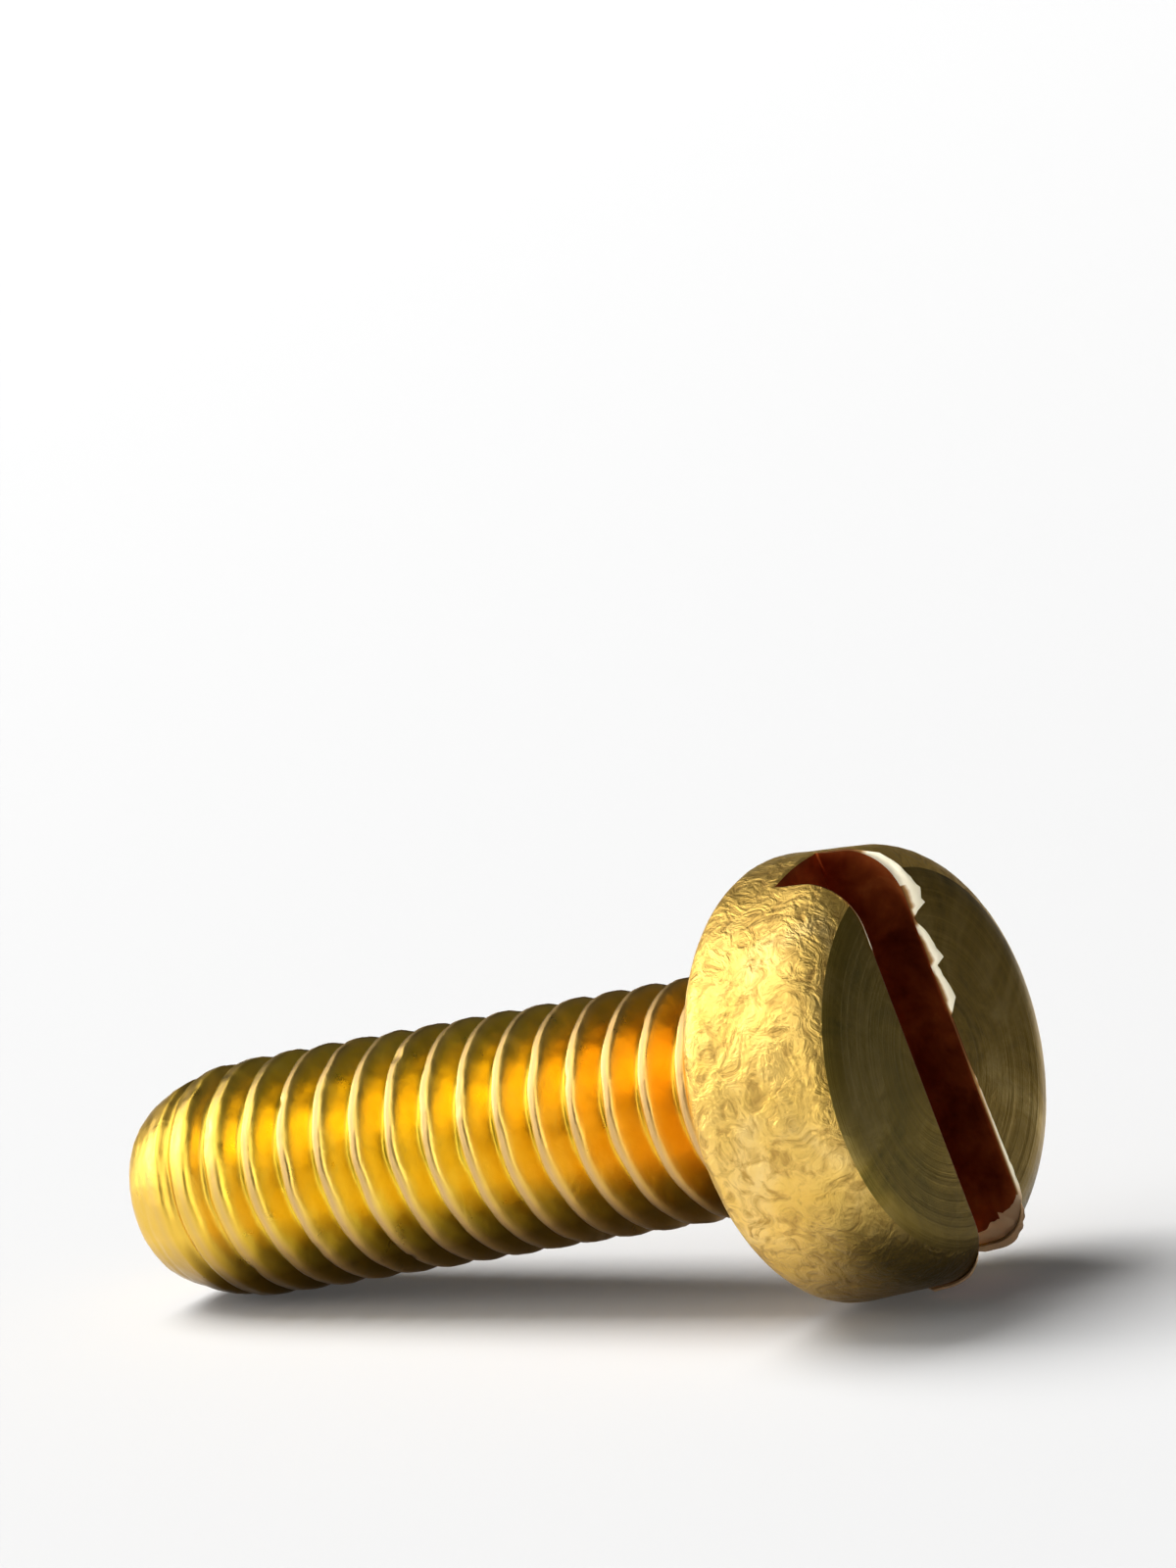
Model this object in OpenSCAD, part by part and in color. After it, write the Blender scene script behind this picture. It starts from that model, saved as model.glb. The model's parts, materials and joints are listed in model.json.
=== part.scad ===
/* [Head] */
// Largest diameter of the head, round its underside rim
head_d = 6.9; // [6.6:0.1:8]
// Height of the head from its bearing face to its flat top
head_h = 2.5; // [2.4:0.1:3.4]
// Angle by which the side of the head leans in towards the top
side_taper = 3; // [0:0.5:5]
// Radius of the rounded edge round the flat top
edge_r = 0.85; // [0.3:0.05:1]
// Radius of the rounded rim round the bearing face
rim_r = 0.45; // [0.1:0.05:0.6]

/* [Driving slot] */
// Width of the slot
slot_w = 1.3; // [0.8:0.1:1.8]
// Depth of the slot below the flat top
slot_depth = 1.3; // [0.8:0.05:1.6]
// Turn of the slot away from the upright plane through the lying screw's axis
slot_turn = 10; // [0:1:180]

/* [Shank] */
// Length from the bearing face to the end of the tip
shank_l = 12.3; // [6:0.1:30]
// Length of the plain neck between the bearing face and the last full thread
neck_l = 0.8; // [0.6:0.1:2]
// How far the neck lies below the root of the thread
neck_relief = 0.04; // [0.02:0.01:0.1]
// How far outside the thread crests the fillet under the head ends
seat_gap = 0.04; // [0.02:0.01:0.2]
// Length of the rounded tip
tip_l = 1.9; // [1:0.1:2.5]
// Diameter at the end of the tip, before its corner is rounded
tip_d = 2.7; // [2:0.1:3]
// Radius of that rounded corner
tip_corner_r = 0.5; // [0.2:0.05:0.6]

/* [Thread] */
// Diameter over the crests
thread_d = 3.8; // [3.6:0.01:4.2]
// Distance from one turn to the next
pitch = 0.7; // [0.6:0.05:0.8]
// Depth from crest to root
thread_depth = 0.4; // [0.3:0.01:0.44]
// Width of the flat land along the crest
crest_w = 0.14; // [0.1:0.01:0.2]
// Width of the flat along the root
root_w = 0.1; // [0.05:0.01:0.15]
// Turn of the thread's start round the axis
thread_turn = 27; // [0:1:359]

/* [Hidden] */
$fn = 96;
thread_steps = 24;
head_overlap = 0.3;
brass = [0.8, 0.62, 0.26];

crest_r = thread_d / 2;
root_r = crest_r - thread_depth;
neck_r = root_r - neck_relief;
seat_r = crest_r + seat_gap;

// Centres of the two arcs of the head's profile, as [radius, height]
rim_c = [head_d / 2 - rim_r, rim_r];
side_out = [cos(side_taper), sin(side_taper)];
edge_h = head_h - edge_r;
edge_c = [rim_c.x + (rim_r - edge_r - (edge_h - rim_r) * side_out.y) / side_out.x, edge_h];

// The tip is an arc that leaves the crests smoothly and a small arc round its corner
tip_drop = crest_r - tip_d / 2;
tip_r = (tip_l * tip_l + tip_drop * tip_drop) / (2 * tip_drop);
tip_c = [crest_r - tip_r, tip_l - shank_l];
corner_run = sqrt(pow(tip_r - tip_corner_r, 2) - pow(tip_l - tip_corner_r, 2));
corner_c = [tip_c.x + corner_run, tip_corner_r - shank_l];
corner_out = (corner_c - tip_c) / (tip_r - tip_corner_r);
corner_end = tip_c + tip_r * corner_out;

// The screw lies on the lowest point of its rim and the lowest point of its tip
span = rim_c - tip_c;
tilt = atan2(span.x, span.y) + asin((rim_r - tip_r) / norm(span));
rest_h = rim_c.x * cos(tilt) - rim_c.y * sin(tilt) + rim_r;
front_x = edge_c.x * sin(tilt) + edge_c.y * cos(tilt) + edge_r;
back_x = corner_c.y * cos(tilt) - corner_c.x * sin(tilt) - tip_corner_r;

// Half of the head's section: straight faces between the rim arc and the edge arc
module head_profile() {
    polygon([[0, 0], [rim_c.x, 0], rim_c + rim_r * side_out,
        edge_c + edge_r * side_out, [edge_c.x, head_h], [0, head_h]]);
    translate(rim_c) circle(rim_r);
    translate(edge_c) circle(edge_r);
}

module driving_slot() {
    rotate([0, 0, slot_turn])
        translate([-head_d, -slot_w / 2, head_h - slot_depth])
            cube([2 * head_d, slot_w, head_h]);
}

module head() {
    difference() {
        rotate_extrude() head_profile();
        driving_slot();
    }
}

module tip_profile() {
    intersection() {
        translate([0, corner_end.y]) square([crest_r, -neck_l - corner_end.y]);
        translate(tip_c) circle(tip_r);
    }
    polygon([[0, -shank_l], [corner_c.x, -shank_l], corner_end, [0, corner_end.y]]);
    translate(corner_c) circle(tip_corner_r);
}

// A shoulder leads from the thread down to the neck, and a fillet from the neck to the head
module body_profile() {
    shoulder = crest_r - neck_r;
    fillet_r = seat_r - neck_r;
    polygon([[0, tip_c.y], [crest_r, tip_c.y], [crest_r, -neck_l], [neck_r, shoulder - neck_l],
        [neck_r, head_overlap], [0, head_overlap]]);
    difference() {
        translate([0, -fillet_r]) square([seat_r, fillet_r]);
        translate([seat_r, -fillet_r]) circle(fillet_r);
    }
}

// Half of the unthreaded shank's section
module shank_profile() {
    tip_profile();
    body_profile();
}

// Right-hand helical groove, a flat-bottomed V swept from past the tip into the neck
module thread_groove() {
    flank = ((pitch - crest_w - root_w) / 2) / thread_depth;
    mouth_r = crest_r + (thread_depth * crest_w) / (2 * pitch);
    half_mouth = root_w / 2 + (mouth_r - root_r) * flank;
    section = [[root_r, -root_w / 2], [root_r, root_w / 2], [mouth_r, half_mouth], [mouth_r, -half_mouth]];
    start_z = -shank_l - pitch;
    turns = (-neck_l / 2 - start_z) / pitch;
    last = ceil(turns * thread_steps);
    points = [for (i = [0:last], corner = section)
        let (angle = 360 * i / thread_steps)
            [corner.x * cos(angle), corner.x * sin(angle), start_z + pitch * i / thread_steps + corner.y]];
    walls = [for (i = [0:last - 1], k = [0:3])
        let (a = 4 * i + k, b = 4 * i + (k + 1) % 4)
            each [[b + 4, b, a], [a + 4, b + 4, a]]];
    first_end = [0, 1, 2, 3];
    last_end = [for (k = [3:-1:0]) 4 * last + k];
    rotate([0, 0, thread_turn])
        polyhedron(points, concat(walls, [first_end, last_end]), convexity = 20);
}

module threaded_shank() {
    difference() {
        rotate_extrude() shank_profile();
        thread_groove();
    }
}

module screw() {
    color(brass)
        translate([-(front_x + back_x) / 2, 0, rest_h])
            rotate([0, 90 - tilt, 0]) {
                head();
                threaded_shank();
            }
}

screw();
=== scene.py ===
import json
import math
import random

import bpy
import numpy as np
from mathutils import Matrix, Vector, noise


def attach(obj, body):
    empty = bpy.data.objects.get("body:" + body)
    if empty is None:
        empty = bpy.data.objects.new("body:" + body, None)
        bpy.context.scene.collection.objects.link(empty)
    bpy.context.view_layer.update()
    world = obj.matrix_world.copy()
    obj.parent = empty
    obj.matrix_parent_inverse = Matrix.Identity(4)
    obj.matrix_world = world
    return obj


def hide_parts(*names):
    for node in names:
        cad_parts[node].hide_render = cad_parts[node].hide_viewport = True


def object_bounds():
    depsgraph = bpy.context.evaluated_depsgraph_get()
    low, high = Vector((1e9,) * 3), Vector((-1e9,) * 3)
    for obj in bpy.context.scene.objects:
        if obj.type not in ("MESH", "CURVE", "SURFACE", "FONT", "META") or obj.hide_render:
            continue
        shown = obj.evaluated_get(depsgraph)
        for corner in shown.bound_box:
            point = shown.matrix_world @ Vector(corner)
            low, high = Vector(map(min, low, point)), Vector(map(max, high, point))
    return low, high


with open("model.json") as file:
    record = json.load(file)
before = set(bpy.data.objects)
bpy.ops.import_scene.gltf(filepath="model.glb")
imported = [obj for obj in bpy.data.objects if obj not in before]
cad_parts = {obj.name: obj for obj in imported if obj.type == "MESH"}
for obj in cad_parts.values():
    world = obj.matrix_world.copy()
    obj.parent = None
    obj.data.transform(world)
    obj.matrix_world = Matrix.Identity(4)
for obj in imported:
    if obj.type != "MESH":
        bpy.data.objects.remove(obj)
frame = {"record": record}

CAD_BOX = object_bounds()
MM = 0.001

# Sizes of the screw in millimetres, in its own frame: axis up, bearing face at height 0
HEAD_D = 6.9
HEAD_H = 2.5
SIDE_TAPER = math.radians(3.0)
EDGE_R = 0.85
RIM_R = 0.45
SLOT_W = 1.3
SLOT_DEPTH = 1.3
SLOT_TURN = math.radians(10.0)
SHANK_L = 12.3
NECK_L = 0.8
NECK_RELIEF = 0.04
SEAT_GAP = 0.04
TIP_L = 1.9
TIP_D = 2.7
TIP_CORNER_R = 0.5
THREAD_D = 3.8
PITCH = 0.7
THREAD_DEPTH = 0.4
CREST_W = 0.14
ROOT_W = 0.1
THREAD_TURN = math.radians(27.0)

# Derived sizes
CREST_R = THREAD_D / 2
ROOT_R = CREST_R - THREAD_DEPTH
NECK_R = ROOT_R - NECK_RELIEF
SEAT_R = CREST_R + SEAT_GAP
HEAD_R = HEAD_D / 2
RIM_C = (HEAD_R - RIM_R, RIM_R)
EDGE_Z = HEAD_H - EDGE_R
EDGE_X = RIM_C[0] + (RIM_R - EDGE_R - (EDGE_Z - RIM_R) * math.sin(SIDE_TAPER)) / math.cos(SIDE_TAPER)
FLOOR_Z = HEAD_H - SLOT_DEPTH
HALF_SLOT = SLOT_W / 2
TIP_DROP = CREST_R - TIP_D / 2
TIP_R = (TIP_L ** 2 + TIP_DROP ** 2) / (2 * TIP_DROP)
TIP_C = (CREST_R - TIP_R, TIP_L - SHANK_L)
CORNER_RUN = math.sqrt((TIP_R - TIP_CORNER_R) ** 2 - (TIP_L - TIP_CORNER_R) ** 2)
CORNER_C = (TIP_C[0] + CORNER_RUN, TIP_CORNER_R - SHANK_L)
THREAD_START = -SHANK_L - PITCH

# Small steps that keep rows apart where two parts of the mesh meet, in millimetres
SEAT_JOIN = 0.12
TIP_HUB_R = 0.06
TIP_HUB_RISE = 0.01
NECK_JOIN = 0.02
TOP_JOIN = 0.02
PEAK_GAP = 0.2

# Height above which the shank has neither thread nor wear
PLAIN_FROM = -0.3

# Mesh density: columns across a slot end and a lobe, head columns per shank column, and rows of each part
END_STEPS = 24
LOBE_STEPS = 150
COARSE = 3
THREAD_STEP = 0.033
TIP_FLAT_ROWS = 7
TIP_CORNER_ROWS = 12
SHOULDER_ROWS = 14
FILLET_ROWS = 12
BEARING_ROWS = 9
RIM_ROWS = 11
LOW_SIDE_ROWS = 13
SIDE_ROWS = 8
EDGE_ROWS = 22
TOP_ROWS = 24
FACE_ROW = SIDE_ROWS + round(EDGE_ROWS * 0.7)
EDGE_FADE_ROWS = 3
FLOOR_FINE_STEPS = 8
FLOOR_STEPS = 50
FLOOR_FINE_SHARE = 0.012
WALL_RINGS = 9
LOBE_FADE_STEPS = 7.5

# Wear, in millimetres: dents of the tumbled head, waves of the crests, nicks, and the worn tip
TUMBLE = 0.012
BEARING_TUMBLE = 0.003
DENT_SCALES = (0.42, 0.2)
WAVE_SCALE = 0.55
WAVE_SHIFT = 0.03
WAVE_DEPTH = 0.018
FINE_SCALE = 0.16
FINE_SHIFT = 0.012
FINE_DEPTH = 0.01
GROOVE_ROUGH = 0.004
CREST_LOSS = 0.012
THREAD_ROUND = 0.05
ROOT_ROUND = 0.035
NICK_SEED = 7
NICK_COUNT = 46
NICK_SIZES = (0.08, 0.2)
NICK_DEPTHS = (0.02, 0.06)
WEAR_FROM = 8.4
WORN_FILL = 0.2
WORN_LOSS = 0.02
WORN_ROUND = 0.12

# Broken edge of the slot, its burrs and its torn lower end, in millimetres
# A burr has a start and an end along the slot, and a height
# Lift and lean are shares of its height, for the four rows from the lobe to the slot's wall
# A burr shows bare metal, lightened as a painted highlight, from the height BURR_BRIGHT up
EDGE_BREAK = 0.03
SAW_ROUGH = 0.012
BURRS = {
    1: [(-3.3, -2.08, 0.19), (-2.0, -1.2, 0.15), (-1.4, -0.5, 0.14), (0.2, 3.0, 0.05), (2.7, 3.6, 0.24)],
    -1: [(-3.2, -2.0, 0.03), (2.9, 3.6, 0.12)],
}
BURR_LIFT = (0.5, 1.0, 0.75, 0.0)
BURR_LEAN = (-1.0, -0.95, -0.55, 0.0)
BURR_BRIGHT = 0.06
TEAR_START = 2.6
TEAR_RUN = 0.5
TEAR_DEPTH = 0.32
LIP_HEIGHT = 0.3
LIP_LENGTH = 0.4
# Lumps of the torn lip: centre and half width as shares of the slot's width, and share of the height
LIP_LUMPS = ((0.27, 0.24, 1.0), (0.74, 0.2, 0.8))


class MeshMaker:
    """Collects points in millimetres, faces and a zone name for each face."""

    def __init__(self):
        self.points = []
        self.faces = []
        self.zones = []

    def add(self, points):
        first = len(self.points)
        self.points.extend(points)
        return list(range(first, len(self.points)))

    def face(self, corners, zone):
        kept = [c for i, c in enumerate(corners) if c != corners[i - 1]]
        if len(kept) > 2:
            self.faces.append(kept)
            self.zones.append(zone)

    def bridge(self, low, high, zone, closed=True):
        """Joins two rows of the same length, the second one to the left when walking along the first."""
        count = len(low) if closed else len(low) - 1
        for i in range(count):
            j = (i + 1) % len(low)
            self.face([low[i], low[j], high[j], high[i]], zone)


def side_radius(z):
    """Radius of the head's leaning side at a height."""
    start = (RIM_C[0] + RIM_R * math.cos(SIDE_TAPER), RIM_C[1] + RIM_R * math.sin(SIDE_TAPER))
    return start[0] - (z - start[1]) * math.tan(SIDE_TAPER)


def arc(centre, radius, first, last, steps):
    """Points of an arc in the (radius, height) plane, angles in radians from the outward direction."""
    angles = [first + (last - first) * i / steps for i in range(steps + 1)]
    return [(centre[0] + radius * math.cos(a), centre[1] + radius * math.sin(a)) for a in angles]


def line(start, end, steps):
    """Points of a straight line in the (radius, height) plane."""
    return [(start[0] + (end[0] - start[0]) * i / steps, start[1] + (end[1] - start[1]) * i / steps)
            for i in range(steps + 1)]


def lower_profile():
    """The head's section from the fillet's seat, along the bearing face and up to the slot's floor."""
    rim = arc(RIM_C, RIM_R, -math.pi / 2, SIDE_TAPER, RIM_ROWS)
    bearing = line((SEAT_R + SEAT_JOIN, 0.0), rim[0], BEARING_ROWS)
    side = line(rim[-1], (side_radius(FLOOR_Z - EDGE_BREAK), FLOOR_Z - EDGE_BREAK), LOW_SIDE_ROWS)
    return bearing + rim[1:] + side[1:]


def upper_profile():
    """The head's section from the slot's floor up the side, round the edge and in along the flat top."""
    edge = arc((EDGE_X, EDGE_Z), EDGE_R, SIDE_TAPER, math.pi / 2, EDGE_ROWS)
    side = line((side_radius(FLOOR_Z), FLOOR_Z), edge[0], SIDE_ROWS)
    top = line(edge[-1], (HALF_SLOT + EDGE_BREAK + TOP_JOIN, HEAD_H), TOP_ROWS)
    return side + edge[1:] + top[1:]


def body_profile():
    """The unthreaded shank's section from the tip's centre to the seat under the head."""
    flat = line((TIP_HUB_R, -SHANK_L), (CORNER_C[0], -SHANK_L), TIP_FLAT_ROWS)
    toward = math.atan2(CORNER_C[1] - TIP_C[1], CORNER_C[0] - TIP_C[0])
    corner = arc(CORNER_C, TIP_CORNER_R, -math.pi / 2, toward, TIP_CORNER_ROWS)
    crown_steps = round(-toward * TIP_R / THREAD_STEP)
    crown = arc(TIP_C, TIP_R, toward, 0.0, crown_steps)
    straight = line(crown[-1], (CREST_R, -NECK_L), round((-NECK_L - TIP_C[1]) / THREAD_STEP))
    fillet_r = SEAT_R - NECK_R
    fillet = arc((SEAT_R, -fillet_r), fillet_r, math.pi, math.pi / 2, FILLET_ROWS)
    shoulder_end = (NECK_R + NECK_JOIN, CREST_R - NECK_R - NECK_L - NECK_JOIN)
    shoulder = line((CREST_R, -NECK_L), shoulder_end, SHOULDER_ROWS)
    fillet = [p for p in fillet if p[1] > shoulder_end[1] + NECK_JOIN / 2]
    return flat + corner[1:] + crown[1:] + straight[1:] + shoulder[1:] + fillet


def soft_noise(x, y, z, scale):
    """Smooth noise at a place in millimetres, with waves about as long as the scale."""
    return noise.noise(Vector((x / scale, y / scale, z / scale)))


def nick_list():
    """Small dents on the thread crests, as (angle, height, radius, depth)."""
    rng = random.Random(NICK_SEED)
    nicks = []
    for _ in range(NICK_COUNT):
        angle = rng.uniform(-math.pi, math.pi)
        z = rng.uniform(-SHANK_L + 0.8, -NECK_L)
        nicks.append((angle, z, rng.uniform(*NICK_SIZES), rng.uniform(*NICK_DEPTHS)))
    return nicks


NICKS = nick_list()


def nick_depth(angle, z):
    """How deep the nicks are at a place on the crests."""
    total = 0.0
    for nick_angle, nick_z, size, depth in NICKS:
        if abs(z - nick_z) > size:
            continue
        turn = (angle - nick_angle + math.pi) % (2 * math.pi) - math.pi
        gap = math.hypot(turn * CREST_R, z - nick_z) / size
        if gap < 1.0:
            total += depth * (1.0 - gap * gap) ** 2
    return total


def smooth_min(a, b, blend):
    """The smaller of two radii, with the corner between them rounded."""
    h = max(0.0, min(1.0, 0.5 + 0.5 * (b - a) / blend))
    return b + (a - b) * h - blend * h * (1 - h)


def tip_wear(z):
    """How worn the thread is, from 0 along the shank to 1 at the tip."""
    share = max(0.0, min(1.0, (-z - WEAR_FROM) / (SHANK_L - WEAR_FROM)))
    return share * share * (3 - 2 * share)


def groove_radius(angle, z):
    """Radius of the helical groove's surface, and how near the point is to the middle of a crest, 0 to 1."""
    centre = THREAD_START + PITCH * (angle - THREAD_TURN) / (2 * math.pi)
    across = (z - centre) / PITCH
    across = abs(across - round(across)) * PITCH
    flank = (PITCH - CREST_W - ROOT_W) / 2 / THREAD_DEPTH
    rise = (across - ROOT_W / 2) / flank
    rise = 0.5 * (rise + math.sqrt(rise * rise + ROOT_ROUND * ROOT_ROUND)) - 0.25 * ROOT_ROUND
    near = max(0.0, 1.0 - (PITCH / 2 - across) / CREST_W)
    wear = tip_wear(z)
    return ROOT_R + WORN_FILL * wear + rise, near * (1.0 - 0.8 * wear)


def thread_point(angle, r, z):
    """A point of the threaded shank, worn a little on its crests."""
    x, y = math.cos(angle), math.sin(angle)
    wave = soft_noise(x * r, y * r, z, WAVE_SCALE)
    fine = soft_noise(x * r, y * r, z + 30.0, FINE_SCALE)
    groove, near = groove_radius(angle, z + WAVE_SHIFT * wave + FINE_SHIFT * fine)
    body = r - CREST_LOSS - WAVE_DEPTH * abs(wave) - FINE_DEPTH * fine - nick_depth(angle, z)
    wear = tip_wear(z)
    blend = THREAD_ROUND + WORN_ROUND * wear
    return smooth_min(body - WORN_LOSS * wear, groove + GROOVE_ROUGH * fine, blend), near


def column_angles():
    """Angles of the head's columns from the slot's direction: end arc, lobe, end arc, lobe."""
    half = math.asin(HALF_SLOT / side_radius(FLOOR_Z))
    ends = [-half + 2 * half * i / END_STEPS for i in range(END_STEPS)]
    lobe = [half + (math.pi - 2 * half) * i / LOBE_STEPS for i in range(LOBE_STEPS)]
    one = ends + lobe
    return one + [a + math.pi for a in one]


ANGLES = column_angles()


def tumbled(point, amount):
    """Moves a point of the head by the fine dents of a tumbled finish."""
    x, y, z = point
    dent = 0.6 * soft_noise(x, y, z, DENT_SCALES[0]) + 0.45 * soft_noise(x + 9, y, z, DENT_SCALES[1])
    long = math.hypot(x, y)
    push = amount * dent
    return (x + push * x / long, y + push * y / long, z)


def head_ring(maker, r, z, amount):
    """Adds one closed row of the head's points."""
    points = [tumbled((r * math.cos(a + SLOT_TURN), r * math.sin(a + SLOT_TURN), z), amount) for a in ANGLES]
    return maker.add(points)


def shank_rings(maker, crest):
    """Builds the threaded shank and returns its last ring, on the seat under the head."""
    angles = [a + SLOT_TURN for a in ANGLES[::COARSE]]
    centre = maker.add([(0.0, 0.0, -SHANK_L + TIP_HUB_RISE)])[0]
    previous = None
    for r, z in body_profile():
        ring = []
        for a in angles:
            radius, near = thread_point(a, r, z)
            if z > PLAIN_FROM:
                radius, near = r, 0.0
            crest[len(maker.points) + len(ring)] = near
            ring.append((radius * math.cos(a), radius * math.sin(a), z))
        ids = maker.add(ring)
        if previous is None:
            for i in range(len(ids)):
                maker.face([centre, ids[i], ids[i - 1]], "thread")
        else:
            maker.bridge(previous, ids, "thread")
        previous = ids
    return previous


def join_seat(maker, seat_ring, first):
    """Joins the shank's last ring to the head's first one, which has COARSE times its points."""
    middle = COARSE // 2
    for i in range(len(seat_ring)):
        j = (i + 1) % len(seat_ring)
        fine = [first[(COARSE * i + step) % len(first)] for step in range(COARSE + 1)]
        for step in range(COARSE):
            corner = seat_ring[i] if step <= middle else seat_ring[j]
            maker.face([corner, fine[step + 1], fine[step]], "head")
        maker.face([seat_ring[i], seat_ring[j], fine[middle + 1]], "head")


def head_base(maker, seat_ring):
    """Builds the bearing face, rim and lower side, and returns the ring at the slot's floor."""
    profile = lower_profile()
    first = head_ring(maker, profile[0][0], profile[0][1], 0.0)
    join_seat(maker, seat_ring, first)
    previous = first
    for r, z in profile[1:]:
        amount = TUMBLE if z > 0.0 else BEARING_TUMBLE
        ring = head_ring(maker, r, z, amount)
        maker.bridge(previous, ring, "head")
        previous = ring
    top = []
    for i, a in enumerate(ANGLES):
        place = i % (END_STEPS + LOBE_STEPS)
        share = math.sin(math.pi * place / END_STEPS) ** 0.3 if 0 < place < END_STEPS else 0.0
        r = side_radius(FLOOR_Z) - EDGE_BREAK * share
        lip = torn_lip(place, 0.0) if i < END_STEPS else 0.0
        r -= 0.3 * lip
        point = (r * math.cos(a + SLOT_TURN), r * math.sin(a + SLOT_TURN), FLOOR_Z + lip)
        top.append(tumbled(point, 0.0 if place <= END_STEPS else TUMBLE))
    ring = maker.add(top)
    maker.bridge(previous, ring, "head")
    return ring


def burr_height(side, along):
    """Height of the ragged slivers on a slot edge, and how far along its sliver the place is, 0 to 1."""
    best, part = 0.0, 0.0
    for start, end, height in BURRS[side]:
        share = (along - start) / (end - start)
        if 0.0 < share < 1.0:
            swell = height * min(1.0, 0.25 + share) * min(1.0, share * 6.0, (1.0 - share) * 9.0)
            if swell > best:
                best, part = swell, share
    ragged = 0.9 + 0.3 * noise.noise(Vector((along / 0.14, side * 5.0, 1.0)))
    return best * ragged, part


def torn_wall(side, along):
    """How far the torn metal reaches into the slot's wall at its lower end."""
    if side < 0:
        return 0.0
    ragged = 0.85 + 0.5 * noise.noise(Vector((along / 0.1, 8.0, 2.0)))
    return TEAR_DEPTH * ragged * max(0.0, min(1.0, (along - TEAR_START) / TEAR_RUN))


def slot_frame(x, y, z):
    """A point given along and across the slot, turned into the screw's frame."""
    c, s = math.cos(SLOT_TURN), math.sin(SLOT_TURN)
    return (x * c - y * s, x * s + y * c, z)


def lobe(maker, side, base_row, burrs):
    """Builds one lobe of the slotted head and returns the chain of points along its edge with the slot."""
    rows = [base_row]
    profile = upper_profile()
    for n, (r, z) in enumerate(profile[1:], start=1):
        back = HALF_SLOT + EDGE_BREAK * min(1.0, n / EDGE_FADE_ROWS)
        first = math.asin(min(1.0, back / r))
        on_top = max(0.0, (z - EDGE_Z) / EDGE_R)
        amount = TUMBLE * (1.0 - on_top ** 4)
        row = []
        for i in range(LOBE_STEPS + 1):
            a = first + (math.pi - 2 * first) * i / LOBE_STEPS
            if side < 0:
                a += math.pi
            fade = min(1.0, min(i, LOBE_STEPS - i) / LOBE_FADE_STEPS)
            point = (r * math.cos(a + SLOT_TURN), r * math.sin(a + SLOT_TURN), z)
            row.append(tumbled(point, amount * fade))
        rows.append(maker.add(row))
    for n, (low, high) in enumerate(zip(rows, rows[1:])):
        maker.bridge(low, high, "face" if n >= FACE_ROW else "head", closed=False)
    peak = maker.add([slot_frame(0.0, side * (HALF_SLOT + EDGE_BREAK), HEAD_H)])[0]
    for i in range(LOBE_STEPS):
        maker.face([rows[-1][i], rows[-1][i + 1], peak], "face")
    return slot_edge(maker, side, profile, rows, peak, burrs)


def sharp_edge(side, profile):
    """Places (along the slot, height) of the edge if it were sharp, from one end to the other."""
    reach = [(math.sqrt(r * r - HALF_SLOT ** 2), z) for r, z in profile]
    reach[-1] = (max(reach[-1][0], PEAK_GAP), HEAD_H)
    sharp = reach + [(0.0, HEAD_H)] + [(-x, z) for x, z in reversed(reach)]
    return sharp if side > 0 else [(-x, z) for x, z in sharp]


def outward(before, here, after):
    """Direction out of the head, in the plane of the slot wall, square to the edge."""
    run = (after[0] - before[0], after[1] - before[1])
    size = math.hypot(*run)
    away = (run[1] / size, -run[0] / size)
    return away if away[1] + away[0] * here[0] >= 0 else (-away[0], -away[1])


def burr_bright(side, step, along, fade):
    """Height of the burr at a place on the edge, and how bright its metal is, 0 to 1."""
    height, part = burr_height(side, along)
    height *= fade
    bright = min(1.0, height / BURR_BRIGHT)
    if step > 2 and abs(along) < TEAR_START:
        bright *= 0.75 if step == 3 else max(0.0, 1.0 - 2.5 * part)
    return height, bright


def slot_edge(maker, side, profile, rows, peak, burrs):
    """Rounds the edge of a slot wall, raises the burrs on it, and returns the wall's outline."""
    outer = [row[0] for row in rows] + [peak] + [row[-1] for row in reversed(rows)]
    sharp = sharp_edge(side, profile)
    last = len(outer) - 1
    loops = [outer]
    for step, (lift, lean) in enumerate(zip(BURR_LIFT, BURR_LEAN), start=1):
        t = step / len(BURR_LIFT)
        ids = [outer[0]]
        for i in range(1, last):
            along, z = sharp[i]
            away = outward(sharp[i - 1], sharp[i], sharp[i + 1])
            fade = min(1.0, min(i, last - i) / EDGE_FADE_ROWS)
            inset = (EDGE_BREAK + torn_wall(side, along)) * fade
            start = Vector(maker.points[outer[i]])
            corner = Vector(slot_frame(along, side * HALF_SLOT, z))
            wall = Vector(slot_frame(along - inset * away[0], side * HALF_SLOT, z - inset * away[1]))
            point = start * (1 - t) ** 2 + corner * 2 * t * (1 - t) + wall * t * t
            height, bright = burr_bright(side, step, along, fade)
            rise = lift * height
            point += Vector(slot_frame(away[0] * rise, -side * lean * height, away[1] * rise))
            burrs[len(maker.points)] = bright
            ids.append(maker.add([tuple(point)])[0])
        loops.append(ids + [outer[last]])
    for low, high in zip(loops, loops[1:]):
        maker.bridge(low, high, "edge", closed=False)
    return loops[-1]


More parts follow.
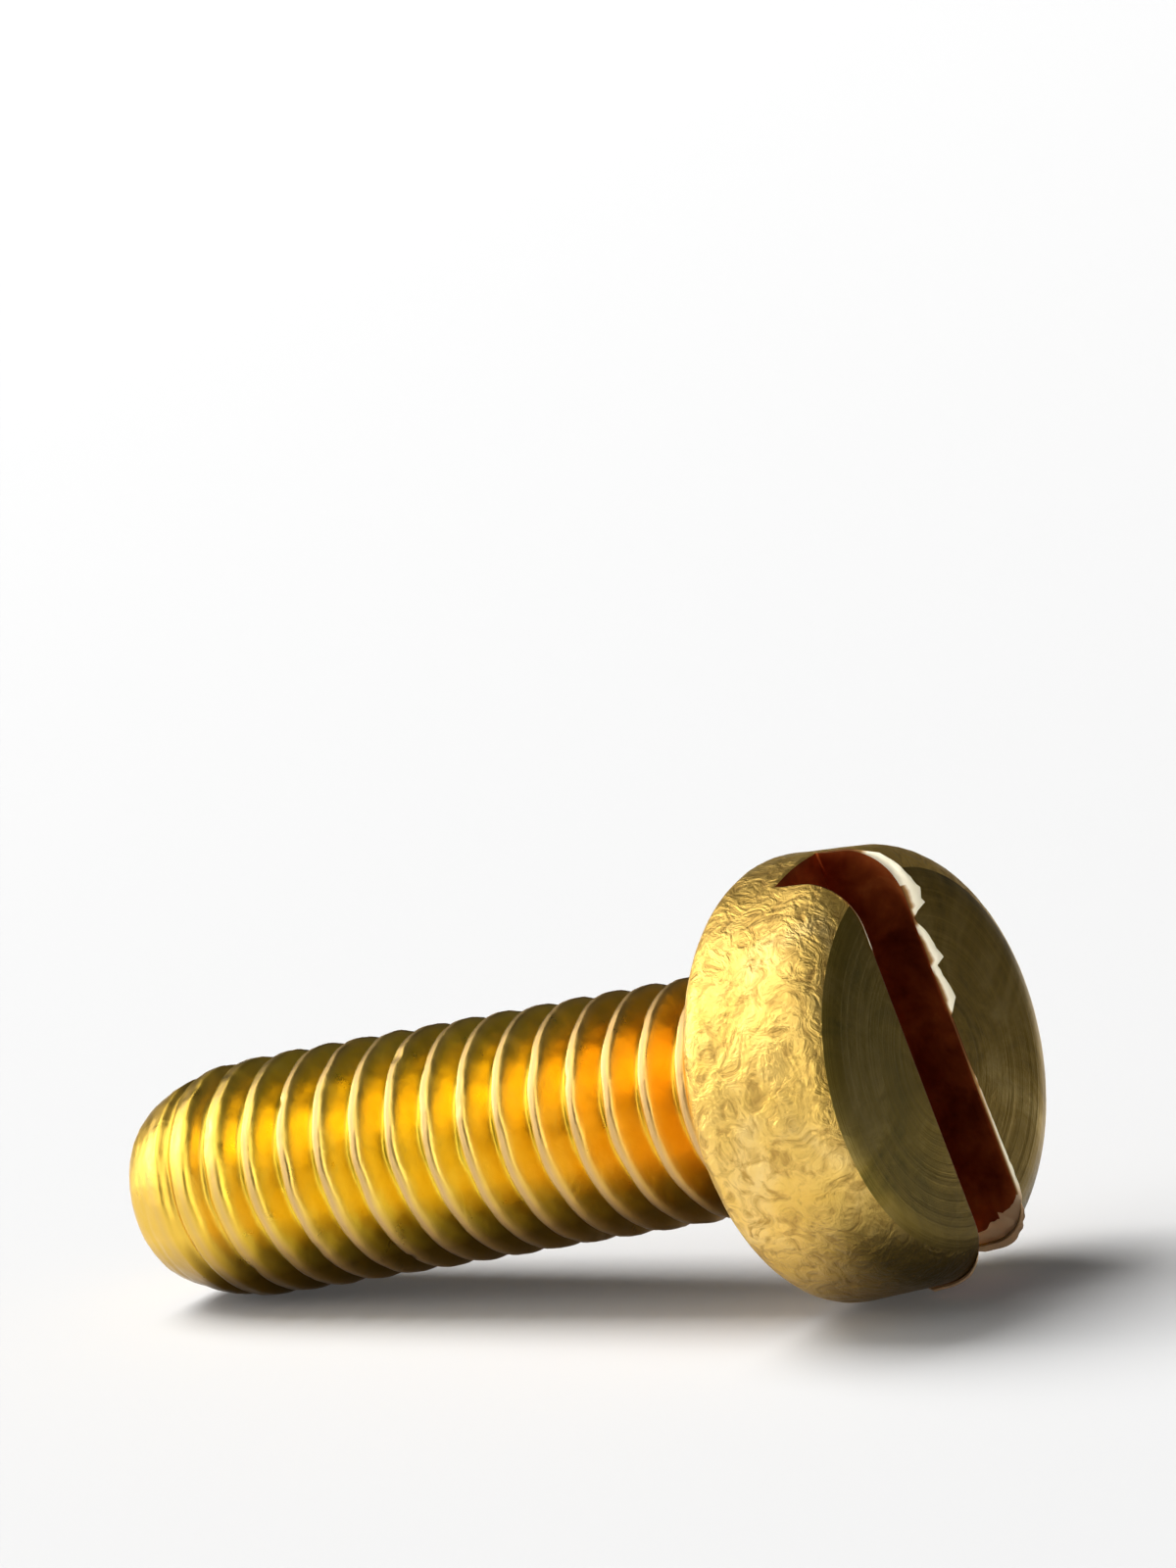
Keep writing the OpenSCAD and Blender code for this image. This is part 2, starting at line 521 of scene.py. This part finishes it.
def slot_floor(maker, ring, burrs):
    """Builds the slot's floor between its two end arcs, and returns its two long edges."""
    half = len(ring) // 2
    near = ring[:END_STEPS + 1]
    far = ring[half:half + END_STEPS + 1]
    fine = [FLOOR_FINE_SHARE * i for i in range(1, FLOOR_FINE_STEPS + 1)]
    shares = fine + [fine[-1] + (1.0 - fine[-1]) * i / FLOOR_STEPS for i in range(1, FLOOR_STEPS)]
    columns = []
    for k in range(END_STEPS + 1):
        start = Vector(maker.points[near[k]])
        end = Vector(maker.points[far[END_STEPS - k]])
        across = math.sin(math.pi * k / END_STEPS)
        inner = []
        for share in shares:
            p = start.lerp(end, share)
            inward = (p - start).xy.length
            rough = SAW_ROUGH * across * soft_noise(p.x * 0.15, p.y * 3, 4.0, 0.4)
            inner.append((p.x, p.y, FLOOR_Z + rough + torn_lip(k, inward)))
        column = [near[k]] + maker.add(inner) + [far[END_STEPS - k]]
        for index in column[:FLOOR_FINE_STEPS + 1]:
            burrs[index] = min(1.0, max(0.0, maker.points[index][2] - FLOOR_Z) / BURR_BRIGHT)
        columns.append(column)
    for low, high in zip(columns, columns[1:]):
        for i in range(len(low) - 1):
            zone = "edge" if i < FLOOR_FINE_STEPS else "slot"
            maker.face([low[i], low[i + 1], high[i + 1], high[i]], zone)
    return columns[0], columns[-1]


def slot_wall(maker, chain, floor_edge):
    """Fills a slot wall, inside its outline and the floor's edge, with rings that shrink to its middle."""
    if chain[0] != floor_edge[0]:
        floor_edge = list(reversed(floor_edge))
    loop = chain + list(reversed(floor_edge[1:-1]))
    corners = [Vector(maker.points[i]) for i in loop]
    centre = sum(corners, Vector()) / len(corners)
    centre.z = (FLOOR_Z + HEAD_H) / 2
    mid = maker.add([tuple(centre)])[0]
    previous = loop
    for n in range(1, WALL_RINGS):
        share = n / WALL_RINGS
        ids = maker.add([tuple(p.lerp(centre, share)) for p in corners])
        maker.bridge(previous, ids, "slot")
        previous = ids
    for i in range(len(previous)):
        maker.face([previous[i], previous[(i + 1) % len(previous)], mid], "slot")


def float_layer(mesh, name, values):
    """Stores a value for each point of the mesh, for the materials."""
    layer = mesh.attributes.new(name, "FLOAT", "POINT")
    data = np.zeros(len(mesh.vertices), dtype=np.float32)
    for index, value in values.items():
        data[index] = value
    layer.data.foreach_set("value", data)


def placement():
    """Matrix from the screw's own frame to the lying one, from the mount on the slot's floor."""
    mounts = {m["name"]: m for m in frame["record"]["mounts"]}
    up = Vector(mounts["slot_floor"]["axis"]).normalized()
    origin = Vector(mounts["slot_floor"]["pos_m"]) - up * (FLOOR_Z * MM)
    side = Vector((0, 1, 0))
    down = side.cross(up)
    matrix = Matrix((down, side, up)).transposed().to_4x4()
    matrix.translation = origin
    return matrix


def keep_in_box(mesh):
    """Trims burrs and dents that would leave the box of the solid part."""
    flat = np.zeros(len(mesh.vertices) * 3)
    mesh.vertices.foreach_get("co", flat)
    points = np.clip(flat.reshape(-1, 3), CAD_BOX[0], CAD_BOX[1])
    mesh.vertices.foreach_set("co", points.ravel())


def torn_lip(place, inward):
    """Height of the torn metal that the saw left at the slot's lower end."""
    across = place / END_STEPS
    lumps = [share * max(0.0, 1.0 - abs(across - centre) / half) ** 0.4 for centre, half, share in LIP_LUMPS]
    ragged = 0.8 + 0.5 * noise.noise(Vector((across * 9.0, 3.0, 0.0)))
    reach = max(0.0, 1.0 - inward / LIP_LENGTH)
    return LIP_HEIGHT * ragged * max(lumps) * reach ** 0.8


def build_screw(materials):
    """Builds the whole screw as one closed mesh."""
    maker = MeshMaker()
    crest, burrs = {}, {}
    seat = shank_rings(maker, crest)
    ring = head_base(maker, seat)
    half = len(ring) // 2
    rows = {1: ring[END_STEPS:half + 1], -1: ring[half + END_STEPS:] + [ring[0]]}
    near_edge, far_edge = slot_floor(maker, ring, burrs)
    for side in (1, -1):
        chain = lobe(maker, side, rows[side], burrs)
        slot_wall(maker, chain, far_edge if side > 0 else near_edge)
    mesh = bpy.data.meshes.new("screw_skin")
    mesh.from_pydata([tuple(c * MM for c in p) for p in maker.points], [], maker.faces)
    mesh.transform(placement())
    keep_in_box(mesh)
    zones = ["thread", "head", "face", "edge", "slot"]
    for zone in zones:
        mesh.materials.append(materials[zone])
    mesh.polygons.foreach_set("material_index", [zones.index(z) for z in maker.zones])
    mesh.update()
    float_layer(mesh, "crest", crest)
    float_layer(mesh, "burr", burrs)
    piece = bpy.data.objects.new("screw_skin", mesh)
    bpy.context.scene.collection.objects.link(piece)
    tidy_normals(piece)
    return piece


def tidy_normals(piece):
    """Turns every face outwards, smooths them and keeps the true corners sharp."""
    bpy.context.view_layer.objects.active = piece
    piece.select_set(True)
    bpy.ops.object.mode_set(mode="EDIT")
    bpy.ops.mesh.select_all(action="SELECT")
    bpy.ops.mesh.normals_make_consistent(inside=False)
    bpy.ops.object.mode_set(mode="OBJECT")
    piece.select_set(False)
    piece.data.polygons.foreach_set("use_smooth", [True] * len(piece.data.polygons))
    piece.data.set_sharp_from_angle(angle=math.radians(50))


# View of the photograph: angles in degrees, distances in metres
VIEW_AZIMUTH = 34.73
VIEW_ELEVATION = 10.0
VIEW_ROLL = -8.435
VIEW_DISTANCE = 0.17
VIEW_TARGET = (0.002104, -0.000784, 0.008248)
LENS_MM = 256.5
SENSOR_MM = 36.0

# Floor: half its length in metres, its grey, and its glow towards the camera and reflections
FLOOR_HALF = 1.2
FLOOR_GREY = 0.58
FLOOR_GLOW = 0.05

# Light: how strong the world and each square lamp are, where 1 is white, lengths in metres
# A direction is given in the view: right, up and towards the camera
WORLD_LIGHT = 0.05
LAMP_DISTANCE = 1.0
KEY_RADIANCE = 1.65
KEY_DIRECTION = (-0.87, 0.45, -0.05)
KEY_SIZE = 1.5
RIM_RADIANCE = 5.5
RIM_DIRECTION = (-0.86, 0.3, -0.3)
RIM_SIZE = 0.36
RIM_COLOUR = (1.0, 0.94, 0.72)
FRONT_RADIANCE = 2.1
FRONT_DIRECTION = (0.3, 0.2, 0.93)
FRONT_SIZE = 0.9
TOP_RADIANCE = 1.6
TOP_DIRECTION = (-0.35, 0.7, 0.6)
TOP_SIZE = 0.8
HIGH_RADIANCE = 11.3
HIGH_DIRECTION = (-0.5, 0.78, -0.25)
HIGH_SIZE = 0.65

# Dark panel: its place to the right and back, its turn from the view's depth, and its size, in metres
CARD_RIGHT = 0.026
CARD_BACK = 0.02
CARD_TURN = 0.2
CARD_HALF = 0.05
CARD_HEIGHT = 0.06
CARD_GREY = 0.03


class Nodes:
    """A short way to build a node material."""

    def __init__(self, name):
        self.material = bpy.data.materials.new(name)
        self.material.use_nodes = True
        self.tree = self.material.node_tree
        self.shader = self.tree.nodes["Principled BSDF"]
        self.own_frame = None

    def new(self, kind, **values):
        node = self.tree.nodes.new(kind)
        for key, value in values.items():
            if hasattr(node, key):
                setattr(node, key, value)
            else:
                node.inputs[key.replace("_", " ")].default_value = value
        return node

    def link(self, start, end):
        self.tree.links.new(start, end)

    def place(self):
        """Coordinates in the screw's own frame, in metres."""
        if self.own_frame is None:
            node = self.new("ShaderNodeMapping", vector_type="TEXTURE")
            node.inputs["Location"].default_value = placement().translation
            node.inputs["Rotation"].default_value = placement().to_euler()
            self.link(self.new("ShaderNodeTexCoord").outputs["Object"], node.inputs["Vector"])
            self.own_frame = node.outputs["Vector"]
        return self.own_frame

    def noise(self, scale, detail=3.0, rough=0.5, distortion=0.0):
        node = self.new("ShaderNodeTexNoise", Scale=scale, Detail=detail, Roughness=rough,
                        Distortion=distortion)
        self.link(self.place(), node.inputs["Vector"])
        return node.outputs["Fac"]

    def ramp(self, value, stops):
        node = self.new("ShaderNodeValToRGB")
        ramp = node.color_ramp
        while len(ramp.elements) < len(stops):
            ramp.elements.new(0.5)
        for element, (place, colour) in zip(ramp.elements, stops):
            element.position = place
            element.color = colour if len(colour) == 4 else (*colour, 1.0)
        self.link(value, node.inputs["Fac"])
        return node.outputs["Color"]

    def span(self, value, low, high, start=0.0, end=1.0):
        node = self.new("ShaderNodeMapRange")
        node.inputs["From Min"].default_value = start
        node.inputs["From Max"].default_value = end
        node.inputs["To Min"].default_value = low
        node.inputs["To Max"].default_value = high
        self.link(value, node.inputs["Value"])
        return node.outputs["Result"]

    def mix(self, share, first, second):
        node = self.new("ShaderNodeMix", data_type="RGBA")
        for socket, value in ((node.inputs[0], share), (node.inputs[6], first), (node.inputs[7], second)):
            if hasattr(value, "is_output"):
                self.link(value, socket)
            else:
                socket.default_value = value if isinstance(value, float) else (*value, 1.0)
        return node.outputs[2]

    def math(self, operation, first, second=None):
        node = self.new("ShaderNodeMath", operation=operation)
        self.link(first, node.inputs[0])
        if second is not None:
            self.link(second, node.inputs[1])
        return node.outputs[0]

    def axes(self):
        """The three coordinates in the screw's own frame, as outputs named X, Y and Z."""
        node = self.new("ShaderNodeSeparateXYZ")
        self.link(self.place(), node.inputs["Vector"])
        return node.outputs

    def finish(self, colour, roughness, normal):
        """Wires up the shader as bare metal."""
        self.link(colour, self.shader.inputs["Base Color"])
        self.shader.inputs["Metallic"].default_value = 1.0
        self.link(roughness, self.shader.inputs["Roughness"])
        self.link(normal, self.shader.inputs["Normal"])
        return self.material

    def attribute(self, name):
        return self.new("ShaderNodeAttribute", attribute_name=name).outputs["Fac"]

    def bump(self, height, distance, strength=1.0, normal=None):
        node = self.new("ShaderNodeBump", Strength=strength, Distance=distance)
        self.link(height, node.inputs["Height"])
        if normal is not None:
            self.link(normal, node.inputs["Normal"])
        return node.outputs["Normal"]


def head_brass():
    """Tumbled, matt and pale, with darker creases, painted shade on the lower side and darker painted shade
    low down next to the face.
    """
    n = Nodes("brass_head")
    stain = n.noise(800.0, 5.0, 0.6, 0.6)
    crease = n.noise(2600.0, 4.0, 0.6, 1.6)
    colour = n.ramp(stain, [(0.3, (0.82, 0.52, 0.1)), (0.55, (0.93, 0.62, 0.16)),
                            (0.8, (0.97, 0.71, 0.28))])
    colour = n.mix(n.span(crease, 0.0, 1.0, 0.34, 0.52), (0.56, 0.34, 0.08), colour)
    axes = n.axes()
    # Painted shade: the lower side of the head is darkened towards brown
    under = n.span(axes["X"], 0.0, 0.8, 0.5 * HEAD_R * MM, 0.95 * HEAD_R * MM)
    colour = n.mix(under, colour, (0.26, 0.16, 0.045))
    # Painted shade: darker still on the lower side, close to the face
    low = n.span(axes["X"], 0.0, 0.92, 0.35 * HEAD_R * MM, 0.7 * HEAD_R * MM)
    corner = n.math("MULTIPLY", low, n.span(axes["Z"], 0.0, 1.0, 1.0 * MM, 2.0 * MM))
    colour = n.mix(corner, colour, (0.12, 0.08, 0.018))
    normal = n.bump(n.noise(1300.0, 3.0, 0.55, 1.0), 0.00007)
    normal = n.bump(crease, 0.00005, 1.0, normal)
    return n.finish(colour, n.span(crease, 0.48, 0.36, 0.3, 0.7), normal)


def face_brass():
    """The turned face: olive tarnish made darker by painted shade, with fine rings round the axis, dull
    patches, a darker and greener side, and painted shade along the lower edge.
    """
    n = Nodes("brass_face")
    axes = n.axes()
    squares = [n.math("MULTIPLY", axes[axis], axes[axis]) for axis in ("X", "Y")]
    radius = n.math("SQRT", n.math("ADD", squares[0], squares[1]))
    rings = n.new("ShaderNodeTexNoise", noise_dimensions="1D", Scale=7000.0, Detail=4.0, Roughness=0.7)
    n.link(radius, rings.inputs["W"])
    patch = n.noise(650.0, 5.0, 0.62, 0.8)
    # Olive tarnish, darkened further as painted shade for the face's dark reflection
    colour = n.ramp(patch, [(0.32, (0.13, 0.085, 0.012)), (0.5, (0.34, 0.215, 0.034)),
                            (0.7, (0.62, 0.43, 0.13))])
    colour = n.mix(n.span(rings.outputs["Fac"], 0.0, 0.25, 0.4, 0.65), colour, (0.56, 0.38, 0.1))
    left = n.span(axes["Y"], 0.35, 0.0, -1.5 * MM, 0.5 * MM)
    colour = n.mix(left, colour, (0.17, 0.16, 0.04))
    # Painted shade: darker along the lower edge of the face
    lower = n.span(axes["X"], 0.0, 0.8, 1.0 * MM, 2.6 * MM)
    colour = n.mix(lower, colour, (0.14, 0.095, 0.022))
    normal = n.bump(n.noise(2600.0, 4.0, 0.6, 0.6), 0.00001)
    normal = n.bump(rings.outputs["Fac"], 0.000008, 1.0, normal)
    return n.finish(colour, n.span(patch, 0.42, 0.3, 0.3, 0.7), normal)


def thread_brass():
    """Golden brass, duller at the tip, with a painted orange reflection near the head, painted shade on the
    lower side, and matt on the crests.
    """
    n = Nodes("brass_thread")
    stain = n.noise(700.0, 5.0, 0.6, 0.4)
    colour = n.ramp(stain, [(0.3, (0.86, 0.54, 0.03)), (0.6, (0.97, 0.67, 0.05)),
                            (0.85, (0.99, 0.73, 0.1))])
    axes = n.axes()
    tip = n.span(axes["Z"], 0.9, 0.0, (0.8 - SHANK_L) * MM, (3.0 - SHANK_L) * MM)
    colour = n.mix(tip, colour, (0.86, 0.55, 0.09))
    # Painted reflection: more orange towards the head, for the head's brass seen in the thread
    near_head = n.span(axes["Z"], 0.0, 0.75, -5.5 * MM, -1.0 * MM)
    colour = n.mix(near_head, colour, (0.92, 0.42, 0.03))
    # Painted shade: dark brown on the lower side of the shank, on the crests there too
    under = n.span(axes["X"], 0.0, 0.95, 0.25 * CREST_R * MM, 0.75 * CREST_R * MM)
    colour = n.mix(under, colour, (0.13, 0.065, 0.006))
    crest = n.attribute("crest")
    colour = n.mix(crest, colour, n.mix(under, (0.68, 0.45, 0.2), (0.42, 0.25, 0.09)))
    groove_rough = n.span(n.noise(3000.0, 4.0), 0.27, 0.42, 0.3, 0.7)
    roughness = n.math("MAXIMUM", groove_rough, n.span(crest, 0.0, 0.5))
    return n.finish(colour, roughness, n.bump(n.noise(4200.0, 4.0, 0.6, 0.5), 0.000008))


def edge_brass():
    """The slot's broken edges: dark where plain, with bare metal on the burrs and the torn end, lightened to
    cream and peach as a painted highlight.
    """
    n = Nodes("brass_edge")
    torn = n.span(n.axes()["X"], 0.0, 1.0, (TEAR_START - 0.4) * MM, TEAR_START * MM)
    # Bare metal, its cream and peach partly a painted highlight
    bare = n.mix(torn, (1.0, 0.92, 0.7), (1.0, 0.7, 0.42))
    burr = n.attribute("burr")
    plain = n.ramp(burr, [(0.0, (0.17, 0.06, 0.02)), (0.3, (0.5, 0.28, 0.1))])
    colour = n.mix(n.span(burr, 0.0, 1.0, 0.25, 0.5), plain, bare)
    roughness = n.span(n.noise(6000.0, 3.0), 0.4, 0.6, 0.3, 0.7)
    return n.finish(colour, roughness, n.bump(n.noise(9000.0, 3.0), 0.000008))


def slot_brass():
    """Sawn and tarnished red-brown."""
    n = Nodes("brass_slot")
    stain = n.noise(1400.0, 5.0, 0.65, 0.5)
    colour = n.ramp(stain, [(0.3, (0.2, 0.03, 0.008)), (0.6, (0.34, 0.07, 0.015)), (0.85, (0.5, 0.16, 0.04))])
    normal = n.bump(n.noise(5000.0, 3.0), 0.000012)
    return n.finish(colour, n.span(stain, 0.4, 0.6, 0.3, 0.7), normal)


def floor_material():
    """Pale and matt, and a little lighter where the camera or a reflection sees it."""
    n = Nodes("floor_pale")
    rays = n.new("ShaderNodeLightPath")
    seen = rays.outputs["Is Camera Ray"]
    for kind in ("Is Glossy Ray", "Is Transmission Ray"):
        seen = n.math("MAXIMUM", seen, rays.outputs[kind])
    n.link(n.span(seen, 0.0, FLOOR_GLOW), n.shader.inputs["Emission Strength"])
    n.shader.inputs["Emission Color"].default_value = (1.0, 1.0, 1.0, 1.0)
    n.shader.inputs["Base Color"].default_value = (FLOOR_GREY, FLOOR_GREY, FLOOR_GREY, 1.0)
    n.shader.inputs["Roughness"].default_value = 0.8
    n.shader.inputs["Specular IOR Level"].default_value = 0.1
    return n.material


def build_floor():
    """The pale surface that the screw lies on."""
    size = FLOOR_HALF
    mesh = bpy.data.meshes.new("floor")
    corners = [(-size, -size, 0), (size, -size, 0), (size, size, 0), (-size, size, 0)]
    mesh.from_pydata(corners, [], [(0, 1, 2, 3)])
    mesh.materials.append(floor_material())
    floor = bpy.data.objects.new("floor", mesh)
    bpy.context.scene.collection.objects.link(floor)


def build_camera():
    """Places the camera of the photograph and returns its matrix."""
    az, el = math.radians(VIEW_AZIMUTH), math.radians(VIEW_ELEVATION)
    forward = Vector((-math.sin(az) * math.cos(el), math.cos(az) * math.cos(el), -math.sin(el)))
    look = forward.to_track_quat("-Z", "Y").to_matrix().to_4x4()
    matrix = look @ Matrix.Rotation(math.radians(VIEW_ROLL), 4, "Z")
    matrix.translation = Vector(VIEW_TARGET) - forward * VIEW_DISTANCE
    data = bpy.data.cameras.new("photo_view")
    data.lens = LENS_MM
    data.sensor_width = SENSOR_MM
    data.clip_start = 0.01
    data.clip_end = 10.0
    camera = bpy.data.objects.new("photo_view", data)
    camera.matrix_world = matrix
    bpy.context.scene.collection.objects.link(camera)
    bpy.context.scene.camera = camera
    return matrix


def soft_box(name, view, direction, size, radiance, colour=(1.0, 1.0, 1.0)):
    """A square soft lamp, placed by its direction in the view: right, up and towards the camera."""
    data = bpy.data.lights.new(name, "AREA")
    data.shape = "SQUARE"
    data.size = size
    data.energy = radiance * math.pi * size * size
    data.color = colour
    lamp = bpy.data.objects.new(name, data)
    away = (view.to_3x3() @ Vector(direction)).normalized()
    lamp.location = away * LAMP_DISTANCE
    lamp.rotation_euler = away.to_track_quat("Z", "Y").to_euler()
    bpy.context.scene.collection.objects.link(lamp)
    return lamp


def build_world():
    """Plain weak light from all round."""
    world = bpy.data.worlds.new("studio")
    bpy.context.scene.world = world
    world.use_nodes = True
    background = world.node_tree.nodes["Background"]
    background.inputs["Color"].default_value = (1.0, 1.0, 1.0, 1.0)
    background.inputs["Strength"].default_value = WORLD_LIGHT


def build_lights(view):
    """The key lights all, the high lamp only the floor, with its shadow, and the others only the metal."""
    soft_box("key", view, KEY_DIRECTION, KEY_SIZE, KEY_RADIANCE)
    soft_box("rim", view, RIM_DIRECTION, RIM_SIZE, RIM_RADIANCE, RIM_COLOUR).visible_diffuse = False
    soft_box("front", view, FRONT_DIRECTION, FRONT_SIZE, FRONT_RADIANCE).visible_diffuse = False
    soft_box("top", view, TOP_DIRECTION, TOP_SIZE, TOP_RADIANCE).visible_diffuse = False
    soft_box("high", view, HIGH_DIRECTION, HIGH_SIZE, HIGH_RADIANCE).visible_glossy = False


def dark_card(view):
    """A dark panel on the right, seen only in the reflection on the screw's face."""
    right = view.to_3x3() @ Vector((1, 0, 0))
    along = Vector((right.x, right.y, 0)).normalized()
    back = Vector((0, 0, 1)).cross(along)
    centre = along * CARD_RIGHT + back * CARD_BACK
    half = (back + along * CARD_TURN).normalized() * CARD_HALF
    top = Vector((0, 0, CARD_HEIGHT))
    mesh = bpy.data.meshes.new("dark_card")
    corners = [centre - half, centre + half, centre + half + top, centre - half + top]
    mesh.from_pydata([tuple(c) for c in corners], [], [(0, 1, 2, 3)])
    n = Nodes("card_dark")
    n.shader.inputs["Base Color"].default_value = (CARD_GREY, CARD_GREY, CARD_GREY, 1.0)
    n.shader.inputs["Roughness"].default_value = 0.9
    mesh.materials.append(n.material)
    card = bpy.data.objects.new("dark_card", mesh)
    bpy.context.scene.collection.objects.link(card)
    card.visible_camera = False
    card.visible_diffuse = False
    card.visible_shadow = False


bpy.context.scene.view_settings.view_transform = "Standard"
brass = {"thread": thread_brass(), "head": head_brass(), "face": face_brass(), "edge": edge_brass(),
         "slot": slot_brass()}
screw = build_screw(brass)
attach(screw, "root")
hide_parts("screw")
build_floor()
photo_view = build_camera()
build_lights(photo_view)
dark_card(photo_view)
build_world()
